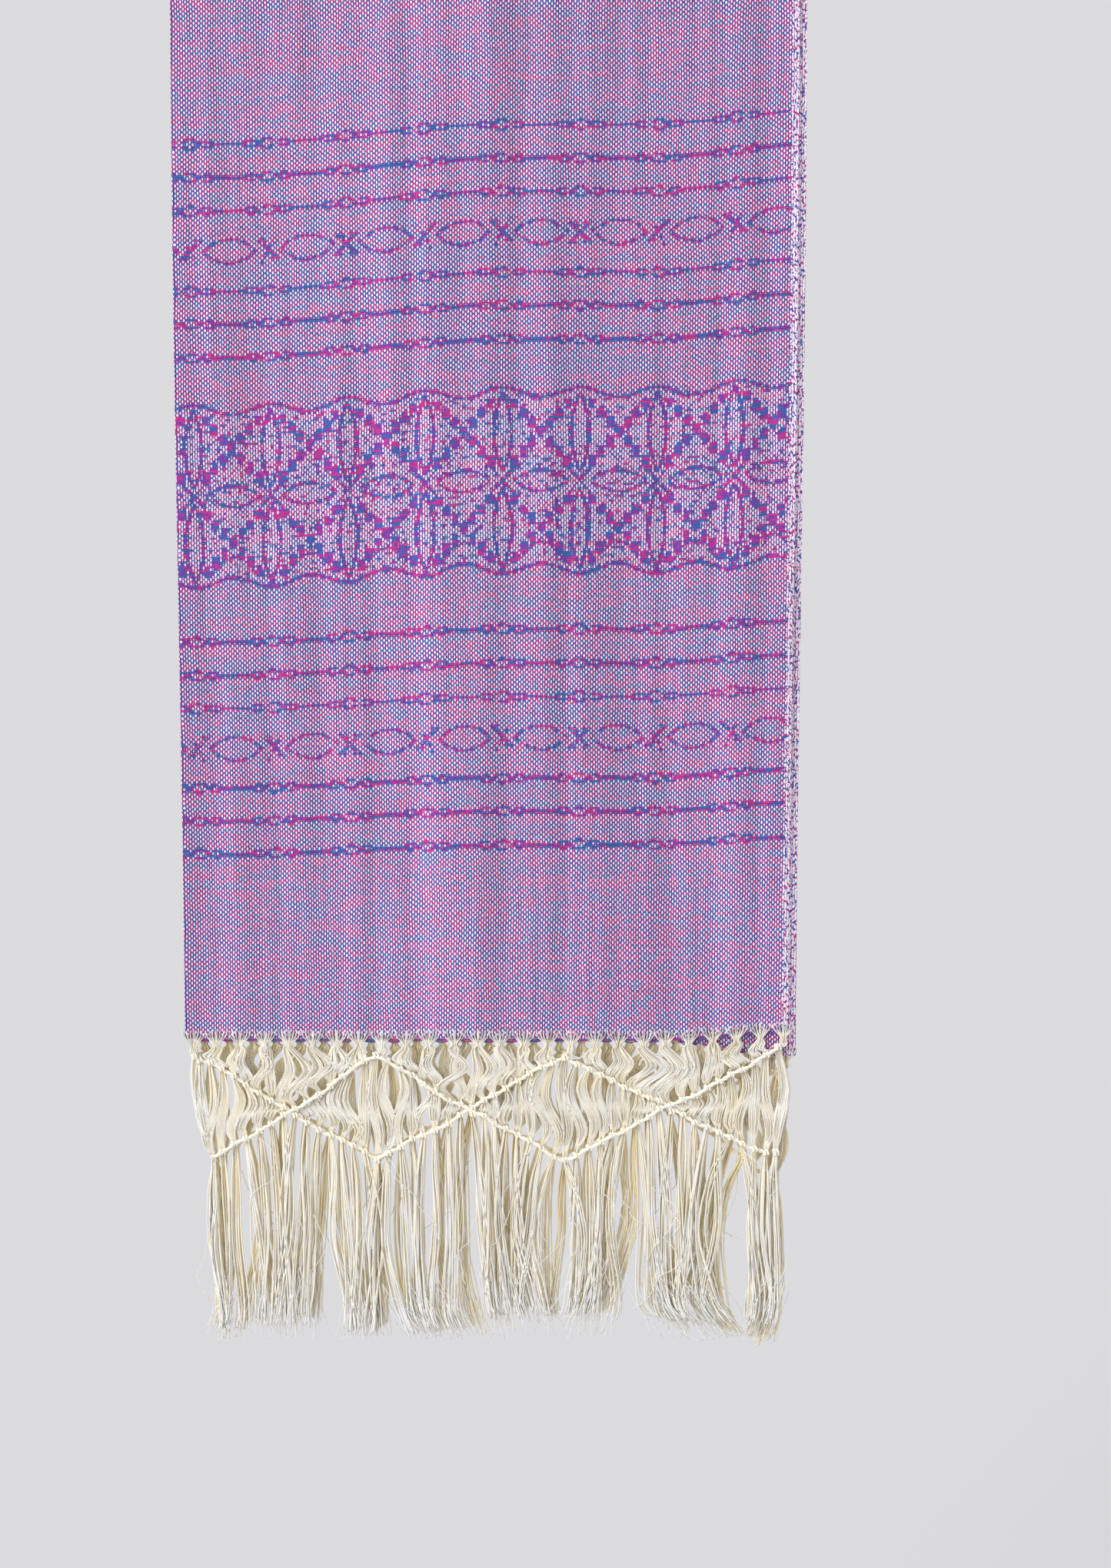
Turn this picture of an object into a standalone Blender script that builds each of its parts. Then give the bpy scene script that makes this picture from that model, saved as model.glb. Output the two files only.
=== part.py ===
"""A rebozo shawl, folded in half along its length and hung over a round wooden rod.

Metres, +Z up. The origin is the middle of the rod's axis, and the rod runs along X. The long
front drop hangs on the -Y side and the shorter back drop on the +Y side. The lengthwise fold
is at -X, and the two selvages lie together at +X. Each drop is one doubled wall with an upper
layer, which faces away from the rod, and an under layer, which lies against it.
"""

import math
import random

import bmesh
import bpy
from mathutils import Vector

SEAM_GAP = 0.0003

# Rod
ROD_RADIUS = 0.0095
ROD_LENGTH = 0.500
ROD_CHAMFER = 0.0015
ROD_SIDES = 32

# Cloth: its whole width is twice FOLDED_WIDTH, and drops are measured from the rod's axis
WALL = 0.0013
FOLDED_WIDTH = 0.380
SELVAGE_STEP = 0.0045
FRONT_DROP = 1.220
BACK_DROP = 0.860
LAYER_GAP = 0.0005
FOLD_OPENS_BY = 0.0016
FOLD_SOFTNESS = 0.018
FOLD_STEPS = 4

# Stretch over the rod
SADDLE_DROP = 0.022
SADDLE_TURNS = 8
SADDLE_COLUMNS = 9

# Hem: towards the selvages the upper layer rides up and the under layer hangs lower
HEM_SLANT_FROM = 0.290
UPPER_HEM_RISE = 0.005
UNDER_HEM_FALL = 0.011

# Soft upright flutes: a valley's distance from the fold, and how far the cloth swells after it
FLUTES = (
    {"valley": 0.019, "swell": 0.0011},
    {"valley": 0.058, "swell": 0.0009},
    {"valley": 0.089, "swell": 0.0010},
    {"valley": 0.120, "swell": 0.0008},
    {"valley": 0.146, "swell": 0.0010},
    {"valley": 0.175, "swell": 0.0018},
    {"valley": 0.208, "swell": 0.0012},
    {"valley": 0.240, "swell": 0.0012},
    {"valley": 0.274, "swell": 0.0015},
    {"valley": 0.302, "swell": 0.0014},
    {"valley": 0.331, "swell": 0.0013},
    {"valley": 0.361, "swell": 0.0010},
)
FLUTES_START = 0.030
FLUTES_FULL = 0.350
DROP_RINGS = {"front": 9, "back": 7}

# Fringe: the warp ends, gathered at even roots below each hem
ROOTS = 26
FIRST_ROOT = 0.009
ROOT_PITCH = 0.0146
LOCKS_PER_ROOT = 2
LOCK_WIDTH = 0.0040
LOCK_DEPTH = 0.0018
LOCK_FLARE = 0.0016
FRINGE_LENGTH = 0.180
FRINGE_UNEVEN = 0.009
FRINGE_SWAY = 0.0010
SWAY_PER_METRE = 47.0
SWAY_LAG = 2.2
STRIP_HEIGHT = 0.003
ROOT_WIDTH = 0.0026
LOCK_STAGES = (0.09, 0.40, 0.75, 1.0)
LOCK_TIP_SCALE = 0.75

# Knotted net in the fringe: two zigzag cords that cross halfway between their corners
NET_CORNERS = (0.010, 0.122, 0.239, 0.366)
NET_PEAK = 0.010
NET_VALLEY = 0.0755
NET_HALF_THICKNESS = 0.0013
NET_SLOPE = 0.56
NET_RUN = ((0.0, 0.0), (0.40, 0.0), (0.46, 1.0), (0.54, 1.0), (0.60, 0.0))

SEED = 11

FINISHES = {
    "woven_cotton": {"colour": (0.418, 0.283, 0.497), "roughness": 0.85},
    "cream_warp_cotton": {"colour": (0.686, 0.631, 0.533), "roughness": 0.90},
    "turned_wood": {"colour": (0.42, 0.25, 0.13), "roughness": 0.55},
}

SEAT = ROD_RADIUS + SEAM_GAP
FOLD_EDGE = -FOLDED_WIDTH / 2.0
AWAY = {"front": -1.0, "back": 1.0}
DROPS = {"front": FRONT_DROP, "back": BACK_DROP}


def clear_scene():
    for thing in list(bpy.data.objects):
        bpy.data.objects.remove(thing, do_unlink=True)


def smooth_step(value, start, end):
    """0 up to start, 1 from end, with an even turn between them."""
    part = min(max((value - start) / (end - start), 0.0), 1.0)
    return part * part * (3.0 - 2.0 * part)


def material(name, colour, roughness):
    made = bpy.data.materials.new(name)
    made.use_nodes = True
    shader = made.node_tree.nodes["Principled BSDF"]
    shader.inputs["Base Color"].default_value = (*colour, 1.0)
    shader.inputs["Roughness"].default_value = roughness
    shader.inputs["Metallic"].default_value = 0.0
    return made


def finish_object(name, mesh_data, finish, smooth=False):
    """Turn a bmesh into a named object with its material and outward faces."""
    bmesh.ops.recalc_face_normals(mesh_data, faces=mesh_data.faces)
    mesh = bpy.data.meshes.new(name)
    mesh_data.to_mesh(mesh)
    mesh_data.free()
    if smooth:
        mesh.shade_smooth()
        mesh.set_sharp_from_angle(angle=math.radians(40))
    made = bpy.data.objects.new(name, mesh)
    made.data.materials.append(finish)
    bpy.context.scene.collection.objects.link(made)
    return made


def on_drop(side, depth):
    """A station on a straight drop: its point on the rod's mid plane, and the way out."""
    return Vector((0.0, 0.0, -depth)), Vector((0.0, AWAY[side], 0.0))


def on_rod(angle):
    """A station round the rod, from the front at 0 over the top to the back at pi."""
    return Vector((0.0, 0.0, 0.0)), Vector((0.0, -math.cos(angle), math.sin(angle)))


def place(from_fold, outward, station):
    """A point at a distance from the fold edge and from the rod's seat."""
    middle, away = station
    return middle + away * (SEAT + outward) + Vector((FOLD_EDGE + from_fold, 0.0, 0.0))


def flute_height(from_fold, depth):
    """How far the cloth swells outward at this place: an arch between two valleys."""
    fullness = smooth_step(depth, FLUTES_START, FLUTES_FULL)
    ends = [flute["valley"] for flute in FLUTES] + [FOLDED_WIDTH + SELVAGE_STEP]
    for flute, end in zip(FLUTES, ends[1:]):
        start = flute["valley"]
        if start <= from_fold <= end:
            part = (from_fold - start) / (end - start)
            return fullness * flute["swell"] * 4.0 * part * (1.0 - part)
    return 0.0


def layer_gap(from_fold, depth):
    """The air between the layers, which opens softly towards the fold."""
    fullness = smooth_step(depth, FLUTES_START, FLUTES_FULL)
    return LAYER_GAP + FOLD_OPENS_BY * fullness * math.exp(-from_fold / FOLD_SOFTNESS)


def hem_depth(side, layer, from_fold):
    """How far below the rod's axis a layer ends."""
    slant = smooth_step(from_fold, HEM_SLANT_FROM, FOLDED_WIDTH)
    change = -UPPER_HEM_RISE if layer == "upper" else UNDER_HEM_FALL
    return DROPS[side] + slant * change


def layer_middle(layer, from_fold, depth):
    """The outward place of a layer's middle surface."""
    lift = flute_height(from_fold, depth)
    if layer == "upper":
        return lift + WALL * 1.5 + layer_gap(from_fold, depth)
    return lift + WALL * 0.5


def wall_ring(columns, depth_at, station_at):
    """Pairs of outer and inner points along the doubled section, selvage to fold to selvage."""
    ring = []

    def add(from_fold, outside, inside, layer):
        station = station_at(depth_at(from_fold, layer))
        ring.append((place(from_fold, outside, station), place(from_fold, inside, station)))

    for from_fold in reversed(columns):
        middle = layer_middle("upper", from_fold, depth_at(from_fold, "upper"))
        add(from_fold, middle + WALL / 2.0, middle - WALL / 2.0, "upper")
    start = columns[0]
    depth = depth_at(start, "upper")
    gap = layer_gap(start, depth)
    centre = flute_height(start, depth) + WALL + gap / 2.0
    station = station_at(depth)
    for step in range(1, FOLD_STEPS):
        angle = math.pi * step / FOLD_STEPS
        rim = []
        for radius in (WALL + gap / 2.0, gap / 2.0):
            across = start - radius * math.sin(angle)
            rim.append(place(across, centre + radius * math.cos(angle), station))
        ring.append(tuple(rim))
    under_columns = columns[:-1] + [columns[-1] + SELVAGE_STEP]
    for from_fold in under_columns:
        middle = layer_middle("under", from_fold, depth_at(from_fold, "under"))
        add(from_fold, middle - WALL / 2.0, middle + WALL / 2.0, "under")
    return ring


def thick_wall(name, rings, finish):
    """A closed wall through rings of paired outer and inner points."""
    mesh_data = bmesh.new()
    grid = [[[mesh_data.verts.new(p) for p in pair] for pair in ring] for ring in rings]
    last_ring, last_pair = len(grid) - 1, len(grid[0]) - 1
    for row in range(last_ring):
        for col in range(last_pair):
            for face in (0, 1):
                mesh_data.faces.new((grid[row][col][face], grid[row][col + 1][face],
                                     grid[row + 1][col + 1][face], grid[row + 1][col][face]))
        for col in (0, last_pair):
            mesh_data.faces.new((grid[row][col][0], grid[row][col][1],
                                 grid[row + 1][col][1], grid[row + 1][col][0]))
    for row in (0, last_ring):
        for col in range(last_pair):
            mesh_data.faces.new((grid[row][col][0], grid[row][col + 1][0],
                                 grid[row][col + 1][1], grid[row][col][1]))
    return finish_object(name, mesh_data, finish)


def first_column():
    """The fold's own radius keeps its edge at the stated width."""
    return WALL + (LAYER_GAP + FOLD_OPENS_BY) / 2.0


def build_rod(finish):
    profile = (
        (-ROD_LENGTH / 2.0, ROD_RADIUS - ROD_CHAMFER),
        (-ROD_LENGTH / 2.0 + ROD_CHAMFER, ROD_RADIUS),
        (ROD_LENGTH / 2.0 - ROD_CHAMFER, ROD_RADIUS),
        (ROD_LENGTH / 2.0, ROD_RADIUS - ROD_CHAMFER),
    )
    mesh_data = bmesh.new()
    rings = []
    for along, radius in profile:
        ring = []
        for side in range(ROD_SIDES):
            angle = math.tau * side / ROD_SIDES
            ring.append(mesh_data.verts.new((along, radius * math.cos(angle),
                                             radius * math.sin(angle))))
        rings.append(ring)
    for ring, following in zip(rings, rings[1:]):
        for side in range(ROD_SIDES):
            beside = (side + 1) % ROD_SIDES
            mesh_data.faces.new((ring[side], ring[beside], following[beside], following[side]))
    mesh_data.faces.new(rings[0])
    mesh_data.faces.new(rings[-1])
    return finish_object("rod", mesh_data, finish, smooth=True)


def build_saddle(finish):
    """The stretch that lies over the rod and comes a little way down each side."""
    start = first_column()
    span = FOLDED_WIDTH - start
    columns = [start + span * n / (SADDLE_COLUMNS - 1) for n in range(SADDLE_COLUMNS)]
    stations = [on_drop("front", SADDLE_DROP)]
    stations += [on_rod(math.pi * n / SADDLE_TURNS) for n in range(SADDLE_TURNS + 1)]
    stations += [on_drop("back", SADDLE_DROP)]
    rings = []
    for station in stations:
        rings.append(wall_ring(columns, lambda across, layer: 0.0, lambda depth: station))
    return thick_wall("cloth_over_rod", rings, finish)


def build_drop(side, finish):
    """One hanging stretch, from just below the rod to its hem."""
    columns = [first_column()]
    ends = [flute["valley"] for flute in FLUTES] + [FOLDED_WIDTH]
    for start, end in zip(ends, ends[1:]):
        columns += [start, (start + end) / 2.0]
    columns.append(FOLDED_WIDTH)
    top = SADDLE_DROP + SEAM_GAP
    rings = []
    for row in range(DROP_RINGS[side] + 1):
        part = row / DROP_RINGS[side]

        def depth_at(across, layer, part=part):
            return top + part * (hem_depth(side, layer, across) - top)

        rings.append(wall_ring(columns, depth_at, lambda depth: on_drop(side, depth)))
    return thick_wall("cloth_" + side, rings, finish)


def lock_roots(layer):
    """Where the locks leave the strip, measured from the fold."""
    pitch = ROOT_PITCH / LOCKS_PER_ROOT
    first = FIRST_ROOT - pitch / 2.0
    if layer == "under":
        first += pitch / 2.0
    return [first + pitch * number for number in range(ROOTS * LOCKS_PER_ROOT)]


def lock_middle(side, layer, from_fold):
    """The outward place of a lock's middle once it has flared off its layer."""
    sign = 1.0 if layer == "upper" else -1.0
    return layer_middle(layer, from_fold, DROPS[side]) + sign * LOCK_FLARE


def lock_sway(from_fold, part):
    """A slow sideways wave that neighbouring locks share."""
    return FRINGE_SWAY * part * math.sin(from_fold * SWAY_PER_METRE + part * SWAY_LAG)


def build_fringe(side, layer, finish):
    """A narrow strip below the hem with its locks, all one closed body."""
    chance = random.Random(f"{side} {layer} {SEED}")
    roots = lock_roots(layer)
    edge = FOLDED_WIDTH if layer == "upper" else FOLDED_WIDTH + SELVAGE_STEP
    left_edges = {root - ROOT_WIDTH / 2.0: root for root in roots}
    stops = [first_column(), edge, *left_edges, *(root + ROOT_WIDTH / 2.0 for root in roots)]
    stops += [flute["valley"] for flute in FLUTES
              if all(abs(flute["valley"] - root) > ROOT_WIDTH for root in roots)]
    stops.sort()
    mesh_data = bmesh.new()

    def vertex(from_fold, outward, depth):
        return mesh_data.verts.new(place(from_fold, outward, on_drop(side, depth)))

    strip = []
    for stop in stops:
        middle = layer_middle(layer, stop, DROPS[side])
        top = hem_depth(side, layer, stop) + SEAM_GAP
        corners = ((WALL / 2.0, top), (-WALL / 2.0, top),
                   (-WALL / 2.0, top + STRIP_HEIGHT), (WALL / 2.0, top + STRIP_HEIGHT))
        strip.append([vertex(stop, middle + outward, depth) for outward, depth in corners])
    mesh_data.faces.new(strip[0])
    mesh_data.faces.new(strip[-1])
    for stop, here, beyond in zip(stops, strip, strip[1:]):
        for a, b in ((0, 1), (1, 2), (3, 0)):
            mesh_data.faces.new((here[a], here[b], beyond[b], beyond[a]))
        if stop not in left_edges:
            mesh_data.faces.new((here[2], here[3], beyond[3], beyond[2]))
            continue
        mesh_data.faces.new((here[2], here[3], beyond[2]))
        base = (here[3], beyond[3], beyond[2])
        grow_lock(mesh_data, vertex, side, layer, left_edges[stop], base, chance)
    return finish_object(f"fringe_{side}_{layer}", mesh_data, finish)


def grow_lock(mesh_data, vertex, side, layer, root, base, chance):
    """Three-sided lock from its base triangle in the strip down to an uneven tip."""
    sign = 1.0 if layer == "upper" else -1.0
    top = hem_depth(side, layer, root) + SEAM_GAP + STRIP_HEIGHT
    length = FRINGE_LENGTH - FRINGE_UNEVEN * chance.random() - STRIP_HEIGHT
    wander = FRINGE_SWAY * chance.uniform(-1.0, 1.0)
    middle = lock_middle(side, layer, root)
    ring = base
    for stage in LOCK_STAGES:
        scale = 1.0 - (1.0 - LOCK_TIP_SCALE) * stage
        half_width = LOCK_WIDTH / 2.0 * scale
        half_depth = LOCK_DEPTH / 2.0 * scale
        across = root + lock_sway(root, stage) + wander * stage
        face = middle + sign * LOCK_DEPTH / 2.0
        corners = ((across - half_width, face), (across + half_width, face),
                   (across, face - sign * 2.0 * half_depth))
        if layer == "under":
            corners = ((across - half_width, face + 2.0 * half_depth),
                       (across + half_width, face + 2.0 * half_depth), (across, face))
        following = [vertex(x, outward, top + length * stage) for x, outward in corners]
        for a, b in ((0, 1), (1, 2), (2, 0)):
            mesh_data.faces.new((ring[a], ring[b], following[b], following[a]))
        ring = following
    mesh_data.faces.new(ring)


def build_net_cord(side, layer, number, finish):
    """One zigzag cord of the knotted net, square in section, lying on the locks."""
    sign = 1.0 if layer == "upper" else -1.0
    rise = NET_HALF_THICKNESS / math.cos(NET_SLOPE)
    depths = [NET_PEAK if (corner + number) % 2 else NET_VALLEY
              for corner in range(len(NET_CORNERS))]
    route = []
    runs = zip(NET_CORNERS, NET_CORNERS[1:], depths, depths[1:])
    for start, end, start_depth, end_depth in runs:
        for part, lift in NET_RUN:
            route.append((start + (end - start) * part,
                          start_depth + (end_depth - start_depth) * part, lift * number))
    route.append((NET_CORNERS[-1], depths[-1], 0.0))
    furthest = max(sign * lock_middle(side, layer, root) for root in lock_roots(layer))
    level = sign * (furthest + LOCK_DEPTH / 2.0 + SEAM_GAP + NET_HALF_THICKNESS)
    mesh_data = bmesh.new()
    rings = []
    for across, below_hem, lift in route:
        outward = level + sign * lift * (2.0 * NET_HALF_THICKNESS + SEAM_GAP)
        hem = hem_depth(side, layer, across)
        ring = []
        for up, out in ((-1, -1), (-1, 1), (1, 1), (1, -1)):
            station = on_drop(side, hem + below_hem + up * rise)
            point = place(across, outward + out * NET_HALF_THICKNESS, station)
            ring.append(mesh_data.verts.new(point))
        rings.append(ring)
    for ring, following in zip(rings, rings[1:]):
        for a in range(4):
            b = (a + 1) % 4
            mesh_data.faces.new((ring[a], ring[b], following[b], following[a]))
    mesh_data.faces.new(rings[0])
    mesh_data.faces.new(rings[-1])
    return finish_object(f"net_{side}_{layer}_{number + 1}", mesh_data, finish)


def main():
    clear_scene()
    cloth, fringe, wood = (material(name, **finish) for name, finish in FINISHES.items())
    build_rod(wood)
    build_saddle(cloth)
    for side in ("front", "back"):
        build_drop(side, cloth)
        for layer in ("upper", "under"):
            build_fringe(side, layer, fringe)
            for number in (0, 1):
                build_net_cord(side, layer, number, fringe)


if __name__ == "__main__":
    main()
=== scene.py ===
import math

import bpy
import numpy as np
from bpy.props import FloatProperty, FloatVectorProperty, IntProperty, PointerProperty
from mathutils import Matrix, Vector


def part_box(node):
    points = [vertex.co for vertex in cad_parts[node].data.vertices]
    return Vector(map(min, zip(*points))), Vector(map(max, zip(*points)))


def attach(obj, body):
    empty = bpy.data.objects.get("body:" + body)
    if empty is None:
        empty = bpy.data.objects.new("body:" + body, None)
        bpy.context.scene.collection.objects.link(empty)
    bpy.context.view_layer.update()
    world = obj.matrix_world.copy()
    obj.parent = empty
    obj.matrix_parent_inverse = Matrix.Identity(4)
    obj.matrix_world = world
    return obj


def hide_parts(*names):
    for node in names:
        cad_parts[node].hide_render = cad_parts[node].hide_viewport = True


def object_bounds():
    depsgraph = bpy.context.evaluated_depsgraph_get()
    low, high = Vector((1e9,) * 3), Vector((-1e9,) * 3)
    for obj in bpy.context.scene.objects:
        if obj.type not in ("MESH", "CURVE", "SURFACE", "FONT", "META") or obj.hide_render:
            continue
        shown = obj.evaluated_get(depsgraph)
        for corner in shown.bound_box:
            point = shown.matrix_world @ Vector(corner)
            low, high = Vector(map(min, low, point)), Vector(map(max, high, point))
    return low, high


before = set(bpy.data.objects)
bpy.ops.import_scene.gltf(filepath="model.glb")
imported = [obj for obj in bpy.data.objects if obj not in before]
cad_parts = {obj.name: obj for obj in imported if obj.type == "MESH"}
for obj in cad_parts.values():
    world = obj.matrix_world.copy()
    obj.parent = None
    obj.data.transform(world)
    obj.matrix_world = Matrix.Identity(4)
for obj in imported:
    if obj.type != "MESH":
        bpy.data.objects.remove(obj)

bl_info = {
    "name": "Rebozo shawl",
    "version": (1, 0, 0),
    "blender": (4, 5, 0),
    "location": "3D View > Sidebar > Rebozo",
    "description": "Woven rebozo with its knotted fringe, hung over a wooden rod",
    "category": "Add Mesh",
}

CAD_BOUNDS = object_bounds()
ROD_LOW, ROD_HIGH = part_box("rod")
CLOTH_LOW, CLOTH_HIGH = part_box("cloth_front")
BACK_LOW, BACK_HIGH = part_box("cloth_back")
SEED = 11

# The same values as the solids
SEAM_GAP = 0.0003
WALL = 0.0013
SELVAGE_STEP = 0.0045
LAYER_GAP = 0.0005
FOLD_OPENS_BY = 0.0016
FOLD_SOFTNESS = 0.018
HEM_SLANT_FROM = 0.290
UPPER_HEM_RISE = 0.005
UNDER_HEM_FALL = 0.011
FLUTES_START = 0.030
FLUTES_FULL = 0.350
FLUTES = (
    {"valley": 0.019, "swell": 0.0011},
    {"valley": 0.058, "swell": 0.0009},
    {"valley": 0.089, "swell": 0.0010},
    {"valley": 0.120, "swell": 0.0008},
    {"valley": 0.146, "swell": 0.0010},
    {"valley": 0.175, "swell": 0.0018},
    {"valley": 0.208, "swell": 0.0012},
    {"valley": 0.240, "swell": 0.0012},
    {"valley": 0.274, "swell": 0.0015},
    {"valley": 0.302, "swell": 0.0014},
    {"valley": 0.331, "swell": 0.0013},
    {"valley": 0.361, "swell": 0.0010},
)
ROD_RADIUS = (ROD_HIGH[2] - ROD_LOW[2]) / 2.0
SEAT = ROD_RADIUS + SEAM_GAP
AWAY = {"front": -1.0, "back": 1.0}
NET_PEAK = 0.010
NET_VALLEY = 0.0755
NET_CORNERS = (
    {"falling": 0.010, "rising": 0.021},
    {"falling": 0.122, "rising": 0.122},
    {"falling": 0.239, "rising": 0.236},
    {"falling": 0.364, "rising": 0.370},
)
KNOT_NEAREST = 0.021
KNOT_FURTHEST = 0.369
ROPE_WIDTH = 0.0025
ROPE_DEPTH = 0.0017
# Down each tail below the net: the share of its length, how far it has turned, how wide and how
# loose it is, and its tone, which is painted shade just below the net and lighter towards the
# tips
TAIL = (
    {"part": 0.20, "turns": 0.0, "wider": 1.0, "loose": 0.0004, "tone": 0.12},
    {"part": 0.50, "turns": 0.8, "wider": 1.1, "loose": 0.0008, "tone": 0.06},
    {"part": 0.79, "turns": 1.4, "wider": 1.1, "loose": 0.0011, "tone": 0.02},
    {"part": 0.92, "turns": 1.5, "wider": 1.0, "loose": 0.0013, "tone": -0.10},
    {"part": 1.00, "turns": 1.6, "wider": 0.9, "loose": 0.0016, "tone": -0.30},
)
WISP_RADIUS = 0.00026
STRAY_RADIUS = 0.00028
LAST_PICKS = 3
LAST_PICK_RADIUS = 0.00030

# The pattern's places in millimetres: a star's middle from the fold, the flower band's middle
# above the hem, the eye lines from that middle, and the plain lines from each eye line
FIRST_STAR = 12.8
BAND_MIDDLE = 334.0
EYE_LINE = 153.4
PLAIN_LINES = (24.5, 44.6, 65.0)


class ClothSettings(bpy.types.PropertyGroup):
    """Sizes and colours of the woven cloth."""
    folded_width: FloatProperty(
        name="Folded width", description="From the fold to the upper selvage",
        default=CLOTH_HIGH[0] - CLOTH_LOW[0] - SELVAGE_STEP, unit="LENGTH")
    front_drop: FloatProperty(
        name="Front drop", description="From the rod's axis to the front hem",
        default=-CLOTH_LOW[2] - UNDER_HEM_FALL, unit="LENGTH")
    back_drop: FloatProperty(
        name="Back drop", description="From the rod's axis to the back hem",
        default=-BACK_LOW[2] - UNDER_HEM_FALL, unit="LENGTH")
    warp_pitch: FloatProperty(
        name="Warp pitch", description="From one upright thread to the next",
        default=0.00154, precision=5, unit="LENGTH")
    pick_pitch: FloatProperty(
        name="Pick pitch", description="From one crosswise thread to the next",
        default=0.00146, precision=5, unit="LENGTH")
    repeat: FloatProperty(
        name="Pattern repeat", description="Width of one repeat of the woven pattern",
        default=0.0472, precision=4, unit="LENGTH")
    warp_colour: FloatVectorProperty(
        name="Warp", description="The white upright threads", subtype="COLOR", size=3,
        min=0.0, max=1.0, default=(0.86, 0.70, 0.895))
    magenta: FloatVectorProperty(
        name="Magenta weft", description="The pink stretches of the crosswise yarn",
        subtype="COLOR", size=3, min=0.0, max=1.0, default=(0.50, 0.036, 0.27))
    blue: FloatVectorProperty(
        name="Blue weft", description="The blue stretches of the crosswise yarn",
        subtype="COLOR", size=3, min=0.0, max=1.0, default=(0.050, 0.120, 0.41))
    purple: FloatVectorProperty(
        name="Purple weft", description="Where the yarn's two dyes meet",
        subtype="COLOR", size=3, min=0.0, max=1.0, default=(0.20, 0.045, 0.36))


class FringeSettings(bpy.types.PropertyGroup):
    """Sizes and colours of the knotted fringe."""
    roots: IntProperty(
        name="Roots", description="Gathered roots along each hem", default=26, min=2)
    first_root: FloatProperty(
        name="First root", description="From the fold to the first root",
        default=0.009, precision=4, unit="LENGTH")
    root_pitch: FloatProperty(
        name="Root pitch", description="From one root to the next",
        default=0.0146, precision=4, unit="LENGTH")
    threads: IntProperty(
        name="Threads", description="Warp ends gathered in each root", default=18, min=2)
    thread_radius: FloatProperty(
        name="Thread radius", description="Half the thickness of one warp end",
        default=0.00049, precision=5, unit="LENGTH")
    length: FloatProperty(
        name="Fringe length", description="From the hem to the uneven tips",
        default=0.182, precision=3, unit="LENGTH")
    cord_radius: FloatProperty(
        name="Cord radius", description="Half the thickness of the net's cords",
        default=0.00108, precision=5, unit="LENGTH")
    cotton: FloatVectorProperty(
        name="Cotton", description="The fringe where light falls on it", subtype="COLOR",
        size=3, min=0.0, max=1.0, default=(0.985, 0.96, 0.892))
    # Painted shade: the darker, warmer colour mixed into the cotton where the fringe lies in
    # shade
    shaded_cotton: FloatVectorProperty(
        name="Shaded cotton", description="The warm tone deep in the fringe",
        subtype="COLOR", size=3, min=0.0, max=1.0, default=(0.98, 0.80, 0.47))


class StageSettings(bpy.types.PropertyGroup):
    """The rod's wood, the floor and the light."""
    wood: FloatVectorProperty(
        name="Wood", description="The rod's pale grain", subtype="COLOR", size=3,
        min=0.0, max=1.0, default=(0.52, 0.33, 0.17))
    dark_wood: FloatVectorProperty(
        name="Dark wood", description="The rod's late grain", subtype="COLOR", size=3,
        min=0.0, max=1.0, default=(0.30, 0.165, 0.075))
    air: FloatVectorProperty(
        name="Surroundings", description="The even pale light all round", subtype="COLOR",
        size=3, min=0.0, max=1.0, default=(0.715, 0.712, 0.735))
    sun: FloatProperty(
        name="Key light", description="Strength of the soft light from the upper left",
        default=2.1, min=0.0)
    sun_softness: FloatProperty(
        name="Softness", description="Angle that the key light fills", default=0.80,
        subtype="ANGLE", unit="ROTATION")
    floor_below: FloatProperty(
        name="Floor below tips", description="Clear height under the fringe",
        default=0.65, unit="LENGTH")


class Wire:
    """A shader socket whose arithmetic adds Math nodes."""

    def __init__(self, graph, socket):
        self.graph = graph
        self.socket = socket

    def math(self, operation, *values):
        return self.graph.math(operation, self, *values)

    def __add__(self, other):
        return self.math("ADD", other)

    __radd__ = __add__

    def __sub__(self, other):
        return self.math("SUBTRACT", other)

    def __rsub__(self, other):
        return self.graph.math("SUBTRACT", other, self)

    def __mul__(self, other):
        return self.math("MULTIPLY", other)

    __rmul__ = __mul__

    def __truediv__(self, other):
        return self.math("DIVIDE", other)

    def __pow__(self, other):
        return self.math("POWER", other)

    def __abs__(self):
        return self.math("ABSOLUTE")

    def __lt__(self, other):
        return self.math("LESS_THAN", other)

    def __gt__(self, other):
        return self.math("GREATER_THAN", other)

    def floor(self):
        return self.math("FLOOR")

    def fraction(self):
        return self.math("FRACT")

    def least(self, other):
        return self.math("MINIMUM", other)

    def most(self, other):
        return self.math("MAXIMUM", other)


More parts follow.
